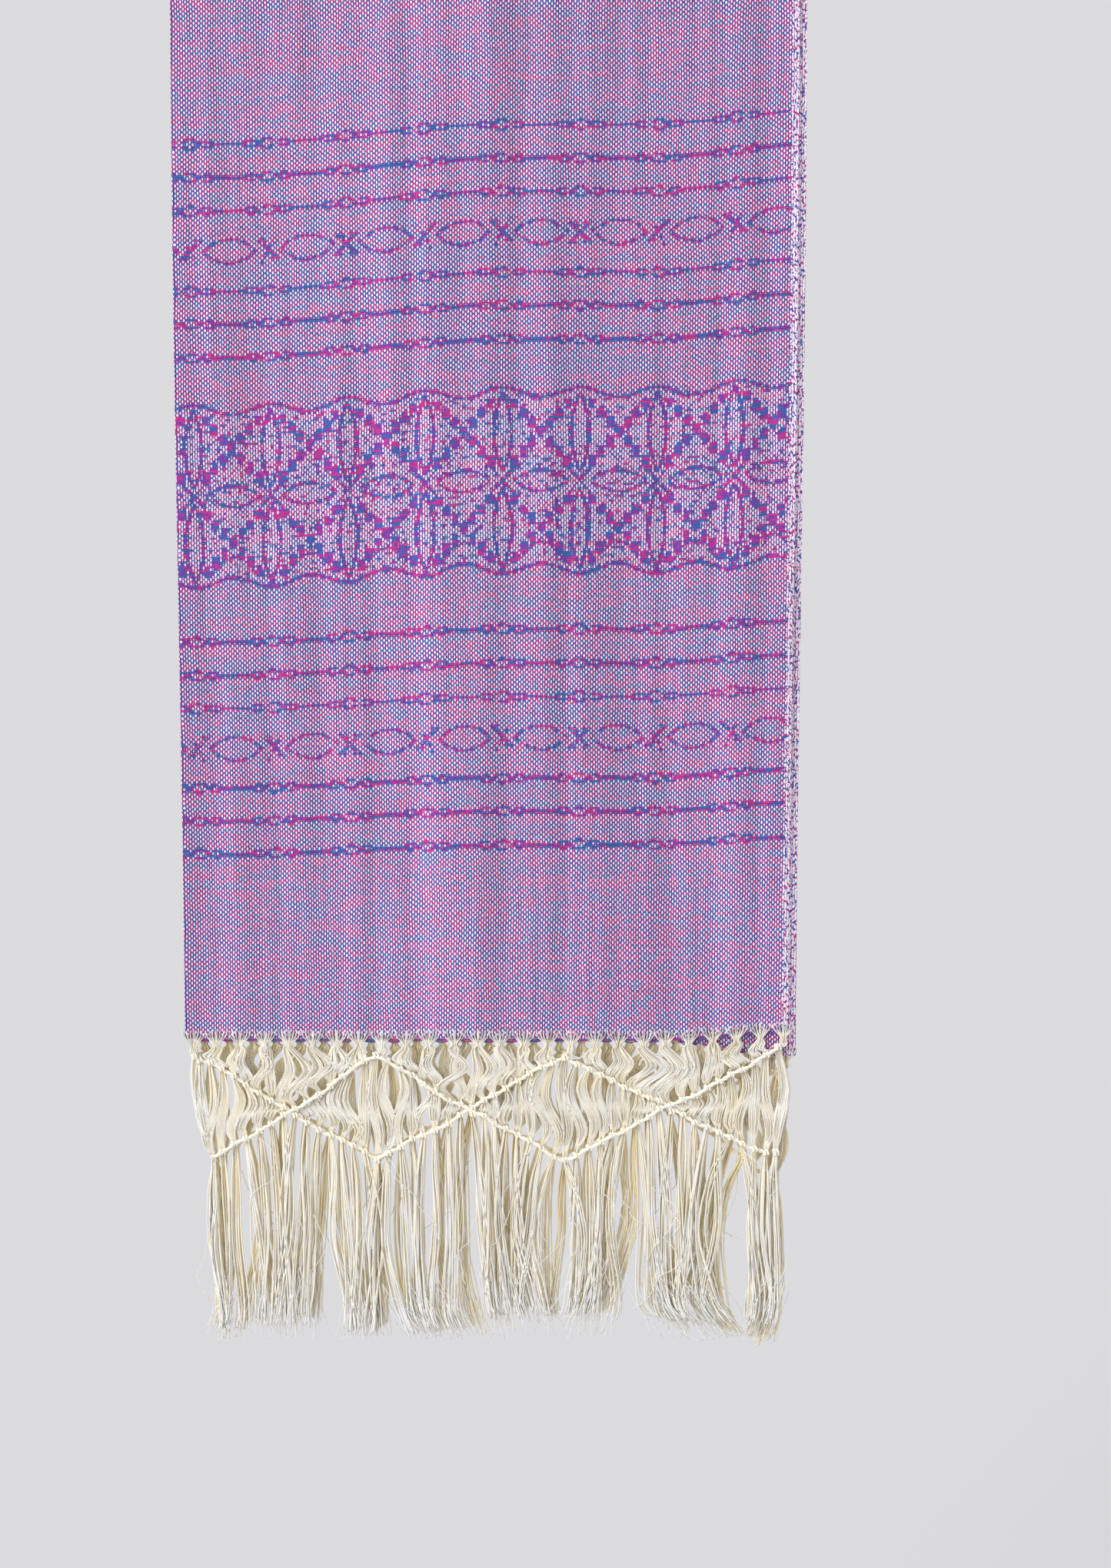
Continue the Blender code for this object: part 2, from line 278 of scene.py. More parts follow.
class Graph:
    """The node graph of one material."""

    def __init__(self, name):
        self.material = bpy.data.materials.new(name)
        self.material.use_nodes = True
        self.tree = self.material.node_tree
        self.shader = self.tree.nodes["Principled BSDF"]

    def node(self, kind, settings, inputs, output=0):
        """Any node: its type, its settings, which are set first, and its inputs."""
        made = self.tree.nodes.new(kind)
        for key, value in settings.items():
            if key == "stops":
                stops = made.color_ramp.elements
                while len(stops) < len(value):
                    stops.new(0.5)
                for stop, (place, colour) in zip(stops, value):
                    stop.position = place
                    stop.color = (*colour, 1.0)
            else:
                setattr(made, key, value)
        for key, value in inputs.items():
            self.plug(made.inputs[key], value)
        return Wire(self, made.outputs[output])

    def plug(self, socket, value):
        if isinstance(value, Wire):
            self.tree.links.new(value.socket, socket)
        elif socket.type == "RGBA":
            socket.default_value = (*value, 1.0)
        else:
            socket.default_value = value

    def math(self, operation, *values):
        return self.node("ShaderNodeMath", {"operation": operation}, dict(enumerate(values)))

    def ramp(self, value, start, end, low=0.0, high=1.0):
        """Smoothly from low, where value is start, to high, where it is end."""
        inputs = {"Value": value, "From Min": start, "From Max": end, "To Min": low,
                  "To Max": high}
        return self.node("ShaderNodeMapRange", {"interpolation_type": "SMOOTHSTEP"}, inputs)

    def mix(self, share, first, second):
        inputs = {0: share, 6: first, 7: second}
        return self.node("ShaderNodeMix", {"data_type": "RGBA"}, inputs, output=2)

    def split(self, vector):
        """The three parts of a vector."""
        parts = self.node("ShaderNodeSeparateXYZ", {}, {0: vector}).socket.node.outputs
        return [Wire(self, part) for part in parts]

    def scale(self, vector, factor):
        inputs = {0: vector, "Scale": factor}
        return self.node("ShaderNodeVectorMath", {"operation": "SCALE"}, inputs)

    def stretch(self, vector, factors):
        inputs = {0: vector, 1: factors}
        return self.node("ShaderNodeVectorMath", {"operation": "MULTIPLY"}, inputs)

    def vector(self, x, y, z=0.0):
        return self.node("ShaderNodeCombineXYZ", {}, {0: x, 1: y, 2: z})

    def attribute(self, name, output="Fac"):
        settings = {"attribute_type": "GEOMETRY", "attribute_name": name}
        return self.node("ShaderNodeAttribute", settings, {}, output)

    def noise(self, place, scale, detail=2.0, roughness=0.5):
        inputs = {"Vector": place, "Scale": scale, "Detail": detail, "Roughness": roughness}
        return self.node("ShaderNodeTexNoise", {"noise_dimensions": "3D"}, inputs)

    def stroke(self, distance, half_width):
        """1 on a drawn line and 0 off it, for the distance from its middle."""
        return self.ramp(abs(distance), half_width * 1.25, half_width * 0.55)

    def bump(self, height, distance, strength):
        inputs = {"Height": height, "Distance": distance, "Strength": strength}
        return self.node("ShaderNodeBump", {}, inputs)

    def finish(self, **sockets):
        for key, value in sockets.items():
            self.plug(self.shader.inputs[key.replace("_", " ")], value)
        return self.material


def ease(value, start, end):
    """0 up to start, 1 from end, with an even turn between them."""
    part = np.clip((value - start) / (end - start), 0.0, 1.0)
    return part * part * (3.0 - 2.0 * part)


def flute_height(from_fold, depth):
    """How far the cloth swells outward: an arch between two valleys."""
    width = bpy.context.scene.rebozo_cloth.folded_width + SELVAGE_STEP
    valleys = np.array([flute["valley"] for flute in FLUTES] + [width])
    swells = np.array([flute["swell"] for flute in FLUTES])
    number = np.clip(np.searchsorted(valleys, from_fold, side="right") - 1, 0, len(FLUTES) - 1)
    span = valleys[number + 1] - valleys[number]
    part = np.clip((from_fold - valleys[number]) / span, 0.0, 1.0)
    return ease(depth, FLUTES_START, FLUTES_FULL) * swells[number] * 4.0 * part * (1.0 - part)


def layer_gap(from_fold, depth):
    """The air between the layers, which opens softly towards the fold."""
    fullness = ease(depth, FLUTES_START, FLUTES_FULL)
    return LAYER_GAP + FOLD_OPENS_BY * fullness * np.exp(-from_fold / FOLD_SOFTNESS)


def hem_depth(side, layer, from_fold):
    """How far below the rod's axis a layer ends."""
    cloth = bpy.context.scene.rebozo_cloth
    drop = cloth.front_drop if side == "front" else cloth.back_drop
    change = -UPPER_HEM_RISE if layer == "upper" else UNDER_HEM_FALL
    return drop + change * ease(from_fold, HEM_SLANT_FROM, cloth.folded_width)


def layer_middle(layer, from_fold, depth):
    """The outward place of a layer's middle surface."""
    lift = flute_height(from_fold, depth)
    if layer == "upper":
        return lift + WALL * 1.5 + layer_gap(from_fold, depth)
    return lift + WALL * 0.5


def hung(side, from_fold, depth, outward):
    """Points on a hanging drop, as an array whose last axis is X, Y, Z."""
    from_fold, depth, outward = np.broadcast_arrays(from_fold, depth, outward)
    edge = -bpy.context.scene.rebozo_cloth.folded_width / 2.0
    return np.stack([edge + from_fold, AWAY[side] * (SEAT + outward), -depth], axis=-1)


def mesh_object(name, points, faces, material, attributes=()):
    """A smooth mesh with its material and its named point attributes."""
    mesh = bpy.data.meshes.new(name)
    mesh.from_pydata(points.reshape(-1, 3).tolist(), [], faces)
    for key, kind, values in attributes:
        field = "vector" if kind == "FLOAT_VECTOR" else "value"
        layer = mesh.attributes.new(key, kind, "POINT")
        layer.data.foreach_set(field, np.ascontiguousarray(values, np.float32).ravel())
    mesh.shade_smooth()
    mesh.materials.append(material)
    made = bpy.data.objects.new(name, mesh)
    bpy.context.scene.collection.objects.link(made)
    return made


def grid_faces(rows, columns):
    """Quads between the rows and columns of a sheet's points."""
    first = (np.arange(rows - 1)[:, None] * columns + np.arange(columns - 1)).ravel()
    return np.stack([first, first + 1, first + columns + 1, first + columns], 1).tolist()


def smooth_through(controls, steps):
    """Points on smooth curves through each row of control points."""
    before = np.concatenate([2 * controls[:, :1] - controls[:, 1:2], controls[:, :-1]], 1)
    after = np.concatenate([controls[:, 1:], 2 * controls[:, -1:] - controls[:, -2:-1]], 1)
    slope = (after - before) / 2.0
    t = (np.arange(steps) / steps)[None, None, :, None]
    start, end = controls[:, :-1, None], controls[:, 1:, None]
    out, back = slope[:, :-1, None], slope[:, 1:, None]
    spans = (start * (2 * t**3 - 3 * t**2 + 1) + out * (t**3 - 2 * t**2 + t)
             + end * (3 * t**2 - 2 * t**3) + back * (t**3 - t**2))
    joined = spans.reshape(len(controls), -1, 3)
    return np.concatenate([joined, controls[:, -1:]], 1)


def tubes(paths, radius, sides, closed=False):
    """Points and faces of round threads along paths, which lie roughly in the cloth's plane."""
    count, length = paths.shape[:2]
    if closed:
        tangent = np.roll(paths, -1, 1) - np.roll(paths, 1, 1)
    else:
        tangent = np.gradient(paths, axis=1)
    across = np.cross(tangent, (0.0, 1.0, 0.0))
    across /= np.maximum(np.linalg.norm(across, axis=-1, keepdims=True), 1e-9)
    out = np.cross(tangent, across)
    out /= np.maximum(np.linalg.norm(out, axis=-1, keepdims=True), 1e-9)
    angle = np.arange(sides) * math.tau / sides
    radius = np.broadcast_to(radius, (count, length, sides))[..., None]
    ring = (across[:, :, None] * np.cos(angle)[:, None] + out[:, :, None]
            * np.sin(angle)[:, None]) * radius
    points = paths[:, :, None] + ring
    last = length if closed else length - 1
    one = np.arange(last)[:, None] * sides + np.arange(sides)
    beside = np.arange(last)[:, None] * sides + (np.arange(sides) + 1) % sides
    quads = np.stack([one, beside, (beside + sides) % (length * sides),
                      (one + sides) % (length * sides)], -1).reshape(-1, 4)
    starts = np.arange(count) * length * sides
    faces = (quads[None] + starts[:, None, None]).reshape(-1, 4).tolist()
    if not closed:
        cap = np.arange(sides)
        faces += (cap[::-1][None] + starts[:, None]).tolist()
        faces += (cap[None] + (starts + (length - 1) * sides)[:, None]).tolist()
    return points, faces


def joined(name, parts, material):
    """One object from several sets of points, faces and tones, kept as its tone attribute: random
    tone with painted shade.
    """
    points, faces, tones_and_painted_shade, start = [], [], [], 0
    for part_points, part_faces, part_tones_and_painted_shade in parts:
        flat = part_points.reshape(-1, 3)
        points.append(flat)
        tones_and_painted_shade.append(part_tones_and_painted_shade.ravel())
        faces += [[corner + start for corner in face] for face in part_faces]
        start += len(flat)
    return mesh_object(name, np.concatenate(points), faces, material,
                       [("tone", "FLOAT", np.concatenate(tones_and_painted_shade))])


def weft_colour(graph, cloth, across, pick):
    """The variegated crosswise yarn: pink and blue stretches that change along each pick."""
    dash = graph.noise(graph.vector(across * 205.0, pick * 3.7, 0.4), 1.0, detail=1.0)
    streak = graph.noise(graph.vector(across * 52.0, pick * 2.9, 9.3), 1.0, detail=2.0)
    clump = graph.noise(graph.vector(across * 17.0, pick * 0.23, 5.6), 1.0, detail=1.5)
    tone = dash * 0.54 + streak * 0.27 + clump * 0.19
    stops = ((0.0, tuple(cloth.blue)), (0.453, tuple(cloth.blue)), (0.480, tuple(cloth.purple)),
             (0.520, tuple(cloth.purple)), (0.547, tuple(cloth.magenta)),
             (1.0, tuple(cloth.magenta)))
    return graph.node("ShaderNodeValToRGB", {"stops": stops}, {"Fac": tone}, output="Color")


def woven_pattern(graph, cloth, across, height):
    """Where weft floats draw the pattern, and where the warp floats long and white beside it.

    The pattern mirrors about its stars, about the flower band and about each eye line, so each
    motif is drawn once, in millimetres from its own middle.
    """
    repeat = cloth.repeat * 1000.0
    half = repeat / 2.0
    q = ((across * 1000.0) - FIRST_STAR).math("PINGPONG", half)
    above = height * 1000.0 - BAND_MIDDLE
    # The upper lines lie a little closer together
    closer = graph.ramp(above, 58.0, 84.0) * (above * 0.018 + 3.2)
    band = abs(above + closer)
    eye = abs(band - EYE_LINE)
    near, middle, far = (abs(eye - place) for place in PLAIN_LINES)
    line = near.least(middle).least(far)
    inward = half - q

    size = graph.noise(graph.vector(0.0, height * 31.0), 1.0) * 1.2 + 2.1
    middle_ring = (1.0 - (q / 5.8) ** 2.0).most(0.0) * size
    side_ring = (1.0 - ((q - 10.0) / 4.6) ** 2.0).most(0.0) * size * 0.68
    edge = middle_ring.most(side_ring)
    chain = graph.stroke(line - edge, graph.ramp(q, 9.0, 15.0, 0.95, 1.2)) * 0.95
    eyelets = (1.0 - (q / 4.0) ** 2.0 - (line / (size * 0.9)) ** 2.0).most(0.0)

    steep = graph.stroke(eye - q * 2.0, 1.2) * (eye < 8.0)
    slanted = graph.stroke(eye - q * 0.95, 1.0) * (q < 6.8)
    eye_lid = graph.stroke(eye - (1.0 - (inward / 16.2) ** 2.0) * 7.4, 1.0) * (q > 6.6)

    leaf_place = band - 28.5
    leaf = (1.0 - (leaf_place / 24.0) ** 2.0) * 5.4
    leaf_edge = graph.stroke(q - leaf, 1.2) * (abs(leaf_place) < 24.5)
    block_pitch = 5.4
    step = (inward / block_pitch + 0.5).floor()
    # Each pick's float starts and ends at an uneven place
    ragged = graph.noise(graph.vector(step * 7.3, height * 2800.0, 4.4), 1.0) - 0.5
    block_width = abs(inward - step * block_pitch) < ragged * 6.5 + 2.35
    block_height = abs(abs(leaf_place) - step * block_pitch * 1.07) < 3.4
    blocks = block_width * block_height * (step < 3.5)
    scallop = graph.stroke(band - 52.3 - (q * (math.pi / half)).math("COSINE") * 3.0, 1.3)
    cross = graph.stroke(band - q * 1.1, 1.3) * (q < 7.6)
    middle_eye = graph.stroke(band - (1.0 - (inward / 17.0) ** 2.0) * 6.3, 1.15) * (q > 6.8)
    low_arch = graph.stroke(above + 36.4 + (inward / 12.0) ** 2.0 * 9.0, 1.1) * (inward < 13.0)

    drawn = steep
    for stroke in (slanted, eye_lid, leaf_edge, scallop, cross, middle_eye, low_arch):
        drawn = drawn.most(stroke)
    broken = graph.noise(graph.vector(across * 190.0, height * 640.0, 8.1), 1.0)
    drawn = chain.most(drawn * graph.ramp(broken, 0.38, 0.50, 0.45, 1.0)).most(blocks)
    in_band = graph.ramp(band, 53.5, 50.5)
    grain = graph.noise(graph.vector(across * 300.0, height * 420.0, 2.0), 1.0, detail=1.0)
    drawn = drawn.most(graph.ramp(grain, 0.57, 0.66) * in_band * 0.75)
    halo = graph.stroke(q - leaf - 4.2, 2.6) * (abs(leaf_place) < 17.0) * 0.65
    inside = graph.ramp(leaf - q, 1.4, 2.4) * 0.7
    loose = graph.ramp(grain, 0.58, 0.46) * in_band * 0.75
    star = graph.stroke(band - q * 1.1 - 3.6, 1.5) * (q < 9.0)
    floats = halo.most(inside).most(loose).most(star).most(eyelets * 0.3)
    return drawn, floats * (1.0 - drawn.least(1.0))


def cloth_material(cloth):
    """White warp dots over a pink and blue weft, with the pattern in longer floats."""
    graph = Graph("woven_cotton")
    across, height, to_selvage = graph.split(graph.attribute("threads", "Vector"))
    # Threads wander a little from their even places
    loose = graph.vector(across * 85.0, height * 40.0)
    pick_place = (height + graph.noise(loose, 1.0) * 0.0022) / cloth.pick_pitch
    pick = pick_place.floor()
    end_place = (across + graph.noise(graph.stretch(loose, (0.6, 0.8, 1.0)), 1.0) * 0.0020
                 ) / cloth.warp_pitch
    end = end_place.floor()
    from_end = end_place.fraction() - 0.5
    from_pick = pick_place.fraction() - 0.5

    drawn, floats = woven_pattern(graph, cloth, (end + 0.5) * cloth.warp_pitch,
                                  (pick + 0.5) * cloth.pick_pitch)
    # The selvage's inner edge is ragged, and loops of weft show on it as small marks
    ragged = graph.noise(graph.vector(height * 650.0, across * 90.0), 1.0)
    selvage = graph.ramp(to_selvage + ragged * 0.008, 0.0090, 0.0080)
    marks = graph.noise(graph.vector(across * 760.0, height * 470.0 + across * 260.0), 1.0)
    marks = graph.ramp(marks, 0.515, 0.56)
    drawn = drawn * (1.0 - selvage) + selvage * (marks * 1.4 - 0.6)
    floats = floats.most(selvage * 0.9)

    from_dot = ((pick_place + end + 0.5) / 2.0).fraction() - 0.5
    from_dash = ((pick_place + end + 1.5) / 2.0).fraction() - 0.5
    tall = 1.0 - floats * 0.55
    dot = 1.0 - (from_end / 0.385) ** 2.0 - (from_dot / 0.35) ** 2.0 * tall
    dash = 1.0 - (from_end / 0.62) ** 2.0 - (from_dash / 0.215) ** 2.0
    along_pick = 1.0 - (from_pick / 0.47) ** 2.0
    lit = dash.most(along_pick - (1.0 - drawn) * 1.7)
    uneven = graph.noise(graph.vector(end * 0.71, pick * 0.93), 1.0, detail=1.0) - 0.5
    shown = graph.ramp(dot - drawn * 1.15 + uneven * 0.55, -0.06, 0.34)

    # Reed marks and uneven yarn; the reed streaks are partly painted shade, standing in for the
    # flutes' shading
    column = graph.noise(graph.vector(end * 0.085, height * 1.6), 1.0, detail=4.0, roughness=0.7)
    reed_and_painted_shade = graph.ramp(column, 0.38, 0.62)
    row = graph.noise(graph.vector(across * 6.0, pick * 0.37), 1.0, detail=2.0)
    # Painted light and shade: a lighter band near 0.146 m and a darker band near 0.262 m across
    # the cloth stand in for the broad shading of its ridge
    painted_light_band = graph.ramp(abs(across - 0.146), 0.050, 0.012)
    painted_shade_band = graph.ramp(abs(across - 0.262), 0.095, 0.050)
    even = (0.77 + reed_and_painted_shade * 0.24 + row * 0.24) * (1.0 + painted_light_band * 0.07 - painted_shade_band * 0.05)
    weft = graph.scale(weft_colour(graph, cloth, across, pick),
                       graph.ramp(lit, -0.7, 0.6, 0.16, 1.0) * even)
    warp = graph.mix(selvage, tuple(cloth.warp_colour), (0.89, 0.79, 0.89))
    colour = graph.mix(shown, weft, graph.scale(warp, even * (1.0 + uneven * 0.5)))
    bare_dot = 1.0 - (from_end / 0.385) ** 2.0 - (from_dot / 0.35) ** 2.0
    relief = bare_dot.most(0.0) * 0.6 + along_pick.most(0.0) * 0.4
    normal = graph.bump(relief, 0.00035, 0.55)
    return graph.finish(Base_Color=colour, Roughness=0.86, Normal=normal, Sheen_Weight=0.10,
                        Sheen_Roughness=0.5, Specular_IOR_Level=0.25)


def weft_material(cloth):
    """The last loose picks under each hem."""
    graph = Graph("weft_yarn")
    across, pick, _ = graph.split(graph.attribute("threads", "Vector"))
    return graph.finish(Base_Color=weft_colour(graph, cloth, across, pick), Roughness=0.85,
                        Specular_IOR_Level=0.25)


def cotton_material(fringe, name):
    """Unbleached warp cotton with painted shade: the tone attribute turns it towards the shaded
    colour where it lies deep in the fringe, with random flecks and drift of tone.
    """
    graph = Graph(name)
    place = graph.node("ShaderNodeNewGeometry", {}, {}, "Position")
    tone = graph.attribute("tone")
    fleck = graph.noise(place, 900.0, detail=3.0) - 0.5
    drift = graph.noise(place, 60.0) - 0.5
    # Painted shade from the tone attribute, with random flecks and drift of tone
    share = (tone + fleck * 0.5 + drift * 0.6).most(0.0).least(1.0)
    colour = graph.mix(share, tuple(fringe.cotton), tuple(fringe.shaded_cotton))
    fibres = graph.noise(graph.stretch(place, (2600.0, 2600.0, 500.0)), 1.0, detail=3.0)
    return graph.finish(Base_Color=colour, Roughness=0.9, Specular_IOR_Level=0.1,
                        Subsurface_Weight=0.5, Subsurface_Radius=(1.0, 0.9, 0.7),
                        Subsurface_Scale=0.0008, Normal=graph.bump(fibres, 0.0003, 0.3))


def wood_material(stage):
    """Oiled beech with fine grain along the rod."""
    graph = Graph("oiled_beech")
    place = graph.node("ShaderNodeNewGeometry", {}, {}, "Position")
    stretched = graph.stretch(place, (6.0, 260.0, 260.0))
    grain = graph.noise(stretched, 1.0, detail=6.0, roughness=0.65)
    flecks = graph.noise(graph.stretch(place, (160.0, 1500.0, 1500.0)), 1.0)
    share = graph.ramp(grain + (flecks - 0.5) * 0.5, 0.38, 0.66)
    colour = graph.mix(share, tuple(stage.wood), tuple(stage.dark_wood))
    return graph.finish(Base_Color=colour, Roughness=graph.ramp(grain, 0.3, 0.7, 0.42, 0.58),
                        Normal=graph.bump(grain + flecks * 0.4, 0.0002, 0.4))


def warp_lift(from_fold, height):
    """How far the woven rows ride up towards the selvage side, which the pattern shows."""
    along = 0.0055 + 0.0065 * ease(height, 0.05, 0.50)
    rise = along * ease(height, 0.0, 0.11) * ease(from_fold, 0.025, 0.205)
    return rise + 0.0030 * ease(height, 0.30, 0.52) * ease(from_fold, 0.29, 0.39)


class REBOZO_OT_cloth(bpy.types.Operator):
    """Weave the cloth: one sheet, folded lengthwise and laid over the rod"""
    bl_idname = "rebozo.cloth"
    bl_label = "Woven cloth"

    def execute(self, context):
        cloth = context.scene.rebozo_cloth
        width = cloth.folded_width
        start = WALL + (LAYER_GAP + FOLD_OPENS_BY) / 2.0
        across = 106
        spread = np.linspace(width, start, across)
        round_fold = 6
        turn = np.arange(1, round_fold + 1) / (round_fold + 1.0) * math.pi
        fold_turn = np.concatenate([np.zeros(across), turn, np.full(across, math.pi)])
        wider = np.linspace(start, width + SELVAGE_STEP, across)
        from_fold = np.concatenate([spread, np.full(round_fold, start), wider])
        signed = np.concatenate([spread, np.cos(turn) * start, -wider])
        to_selvage = np.where(signed > 0, width - signed, width + SELVAGE_STEP + signed)
        stations = self.stations()
        rows, columns = len(stations), len(from_fold)
        points = np.empty((rows, columns, 3))
        threads = np.empty((rows, columns, 3))
        upper = fold_turn < math.pi / 2.0
        hems = {side: np.where(upper, hem_depth(side, "upper", from_fold),
                               hem_depth(side, "under", from_fold))
                for side in ("front", "back")}
        top = SEAT * math.pi
        whole = hems["front"] + top + hems["back"]
        for row, (side, part, angle) in enumerate(stations):
            depth = hems[side] * part
            outer = layer_middle("upper", from_fold, depth)
            inner = layer_middle("under", from_fold, depth)
            radius = (outer - inner) / 2.0
            outward = (outer + inner) / 2.0 + radius * np.cos(fold_turn)
            x = from_fold - radius * np.sin(fold_turn) - width / 2.0
            slack = 0.985 + 0.015 * (1.0 - ease(depth, 0.7, 1.2)) if side == "front" else 1.0
            points[row, :, 0] = x * slack
            points[row, :, 1] = -math.cos(angle) * (SEAT + outward)
            points[row, :, 2] = math.sin(angle) * (SEAT + outward) - depth
            if side == "front":
                along = hems["front"] - depth + SEAT * angle
            else:
                along = whole - (hems["back"] - depth)
            end = np.minimum(along, whole - along)
            lifted = np.where(signed > 0, warp_lift(from_fold, end), 0.0)
            threads[row] = np.stack([signed, end - lifted, to_selvage], -1)
        made = mesh_object("rebozo_cloth", points, grid_faces(rows, columns),
                           cloth_material(cloth), [("threads", "FLOAT_VECTOR", threads)])
        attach(made, "root")
        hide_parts("cloth_front", "cloth_over_rod", "cloth_back")
        return {"FINISHED"}

    @staticmethod
    def stations():
        """Side, share of the drop and angle over the rod of each row of the sheet."""
        up_front, over, down_back = 130, 13, 90
        rows = [("front", part, 0.0) for part in np.linspace(1.0, 0.0, up_front)]
        rows += [("front", 0.0, angle) for angle in np.linspace(0.0, math.pi, over)[1:-1]]
        rows += [("back", part, math.pi) for part in np.linspace(0.0, 1.0, down_back)]
        return rows


def zigzag_depth(kind, from_fold):
    """How far below the hem a net cord runs: falling starts at a peak, rising at a valley."""
    across = [corner[kind] for corner in NET_CORNERS]
    first, second = (NET_PEAK, NET_VALLEY) if kind == "falling" else (NET_VALLEY, NET_PEAK)
    depths = [second if number % 2 else first for number in range(len(across))]
    return np.interp(from_fold, across, depths)


class FringeMaker:
    """The threads, cords, knots and loose fibres of the fringe on one layer's hem."""

    def __init__(self, side, layer, fringe, cloth):
        self.side = side
        self.layer = layer
        self.sign = 1.0 if layer == "upper" else -1.0
        self.fringe = fringe
        self.cloth = cloth
        self.chance = np.random.default_rng([SEED, side == "front", layer == "upper"])
        aside = 0.45 if layer == "under" else 0.0
        self.roots = fringe.first_root + fringe.root_pitch * (np.arange(fringe.roots) + aside)
        self.roots = np.minimum(self.roots, cloth.folded_width - 0.005)
        self.roots = self.roots + self.chance.uniform(-0.0008, 0.0008, fringe.roots)
        self.phase = self.chance.uniform(0.0, math.tau)

    def place(self, from_fold, below, out):
        """Points below the hem; out is how far they stand off the layer, away from the other."""
        hem = hem_depth(self.side, self.layer, from_fold)
        level = layer_middle(self.layer, np.clip(from_fold, 0.0, None), hem)
        return hung(self.side, from_fold, hem + below, level + self.sign * out)

    def bundles(self):
        """Each root parts into two bundles, which pass both cords of the net."""
        chance = self.chance
        count = len(self.roots) * 2
        root = np.repeat(self.roots, 2)
        half = np.tile([-1.0, 1.0], len(self.roots))
        phase = chance.uniform(0.0, math.tau)
        wave = np.sin(root * 58.0 + phase) * 1.1 + chance.normal(0.0, 0.35, count)
        low_wave = np.sin(root * 43.0 + phase * 2.0) + chance.normal(0.0, 0.4, count)
        low_wave[[0, 1, -2, -1]] = 0.0
        middle = root + half * 0.0036
        knot = np.clip(middle, NET_CORNERS[0]["falling"], NET_CORNERS[-1]["rising"])
        low_knot = np.clip(middle, KNOT_NEAREST, KNOT_FURTHEST)
        first = np.minimum(zigzag_depth("falling", knot), zigzag_depth("rising", knot))
        second = np.maximum(zigzag_depth("falling", low_knot), zigzag_depth("rising", low_knot))
        second = np.maximum(second, first + 0.004)
        # The tails hang in clumps, which both layers share
        shared = np.random.default_rng([SEED, 2, self.side == "front"])
        clump = np.repeat(np.arange(count), shared.integers(2, 10, count))[:count]
        centre = np.array([low_knot[clump == group].mean() for group in clump])
        drift = shared.normal(0.0, 0.0050, count)[clump]
        sweep = shared.normal(0.0015, 0.0028, count)[clump]
        uneven = shared.uniform(-0.010, 0.003, count)[clump]
        lean = (centre - low_knot) * chance.uniform(0.10, 0.40, count) + drift * 0.3
        lean = lean + chance.normal(0.0, 0.0034, count)
        tip = low_knot + (centre - low_knot) * chance.uniform(0.0, 0.5, count) + drift
        tip = tip + chance.normal(0.0, 0.0030, count)
        tip = np.clip(tip, KNOT_NEAREST, KNOT_FURTHEST + 0.003)
        length = self.fringe.length + uneven + chance.uniform(-0.003, 0.002, count)
        return {"root": root, "half": half, "wave": wave, "low_wave": low_wave, "knot": knot,
                "low_knot": low_knot, "first": first, "second": second, "lean": lean,
                "sweep": sweep, "tip": tip, "length": length}

    def thread_controls(self, bundle):
        """Control points of every thread, from its place in the cloth to its tip."""
        chance = self.chance
        each = self.fringe.threads // 2
        rank = np.tile(np.linspace(-1.0, 1.0, each), len(bundle["root"]))
        data = {key: np.repeat(value, each) for key, value in bundle.items()}
        count = len(rank)
        pitch = self.fringe.root_pitch
        root, half, knot, low_knot = (data[key] for key in ("root", "half", "knot", "low_knot"))
        first, second, length = data["first"], data["second"], data["length"]
        # At the cloth two threads share each place of the fan
        pair = np.round((rank + 1.0) * 1.5) / 1.5 - 1.0
        fan = half * pitch / 4.0 + pair * pitch / 4.6 + chance.normal(0.0, 0.00012, count)
        deep = chance.uniform(-1.0, 1.0, count)
        lower = 1.0 + 0.25 * np.repeat(chance.uniform(-1.0, 1.0, count // each), each)
        spin = np.repeat(chance.uniform(-1.8, 1.8, count // each), each)
        turn = np.arccos(rank) * np.where(deep > 0.0, 1.0, -1.0)
        stray = chance.normal(0.0, 1.0, (count, 8))
        gathered = 0.0075
        slack = first - gathered
        swing = np.clip(slack * 0.26, 0.0, 0.0078) * np.clip(data["wave"], -1.3, 1.3)
        drop = second - first
        sway = np.clip(drop * 0.13, 0.0, 0.0055) * np.clip(data["low_wave"], -1.4, 1.4)
        tail = length - second
        wide, tight = 0.0031, 0.0013
        room = np.clip(slack / 0.010, 0.12, 1.0)
        # The outermost bundles bow outward as one smooth curve
        left_bow = -0.0026 * np.exp(-((knot - NET_CORNERS[0]["falling"]) / 0.010) ** 2)
        right_bow = 0.0046 * np.exp(-((knot - NET_CORNERS[-1]["rising"]) / 0.010) ** 2)
        billow = 0.0012 + 0.10 * np.abs(swing)
        columns, painted_shades = [], []

        # The last value of each control is painted shade: it darkens the threads towards the
        # shaded cotton at the necks under the hem, at the knots and on the back of each rope
        def control(across, below, out, painted_shade):
            columns.append(self.place(across, below, out))
            painted_shades.append(np.broadcast_to(painted_shade, count))

